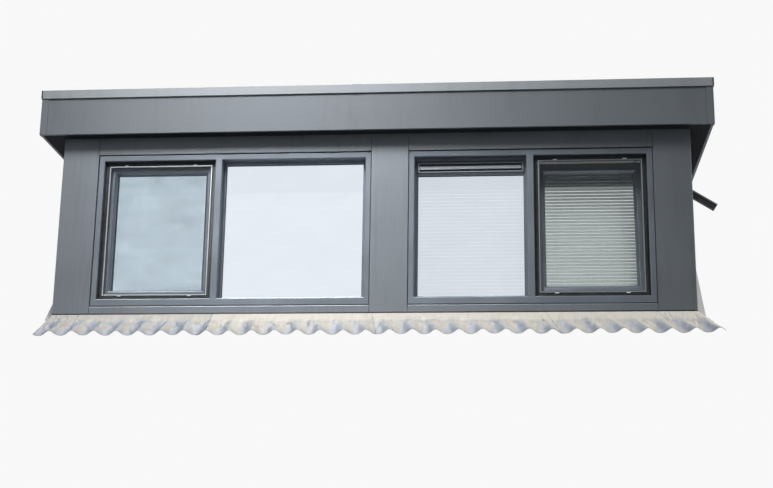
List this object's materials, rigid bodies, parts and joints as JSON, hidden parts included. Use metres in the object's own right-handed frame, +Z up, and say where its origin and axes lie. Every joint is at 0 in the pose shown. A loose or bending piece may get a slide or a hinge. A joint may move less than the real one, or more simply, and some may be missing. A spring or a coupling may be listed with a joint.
{
  "type": "dormer window",
  "caption": "Flat-roofed dormer window for a pitched tiled roof: clad front wall with two window units, triangular cheeks, deep fascia, lead apron and rain spout.",
  "frame": {"origin": "centre of the underside of the front wall's sole plate", "axes": "+X along the front wall to the right as seen from outside, +Y into the roof, +Z up"},
  "size_m": [4.6842, 1.7921, 1.8625],
  "materials": {
    "timber": "planed softwood",
    "insulated_panel": "boarded insulated panel",
    "cladding": "anthracite compact panel, satin",
    "window_profile": "anthracite foiled profile, satin",
    "glass": "coated double glazing",
    "screen": "fine mesh in a thin coated frame",
    "vent": "powder coated",
    "blind": "off-white slats",
    "fitting": "white coated",
    "fascia": "anthracite boards, satin",
    "trim": "powder coated, satin",
    "membrane": "matt sheet",
    "lead": "weathered soft grey lead sheet",
    "spout": "black pipe",
    "lining": "white painted board"
  },
  "bodies": {
    "root": {"sole_plate": "timber", "front_lintel": "timber", "left_post": "timber", "centre_post": "timber", "right_post": "timber", "left_cheek_wall": "insulated_panel", "right_cheek_wall": "insulated_panel", "left_cheek_cladding": "cladding", "right_cheek_cladding": "cladding", "left_post_cladding": "cladding", "centre_post_cladding": "cladding", "right_post_cladding": "cladding", "left_head_strip": "cladding", "right_head_strip": "cladding", "left_sill_strip": "cladding", "right_sill_strip": "cladding", "left_window_frame": "window_profile", "right_window_frame": "window_profile", "left_sash": "window_profile", "right_sash": "window_profile", "left_sash_glass": "glass", "left_fixed_glass": "glass", "right_fixed_glass": "glass", "right_sash_glass": "glass", "trickle_vent": "vent", "left_insect_screen": "screen", "right_insect_screen": "screen", "right_fixed_blind": "blind", "right_sash_blind": "blind", "window_fittings": "fitting", "roof_joists": "timber", "roof_deck": "insulated_panel", "roof_membrane": "membrane", "rear_flashing": "membrane", "front_fascia": "fascia", "left_fascia": "fascia", "right_fascia": "fascia", "soffit": "fascia", "roof_trim": "trim", "lead_apron": "lead", "cheek_lead": "lead", "rain_spout": "spout", "ceiling_lining": "lining", "cheek_linings": "lining", "window_board": "lining"}
  },
  "joints": []
}
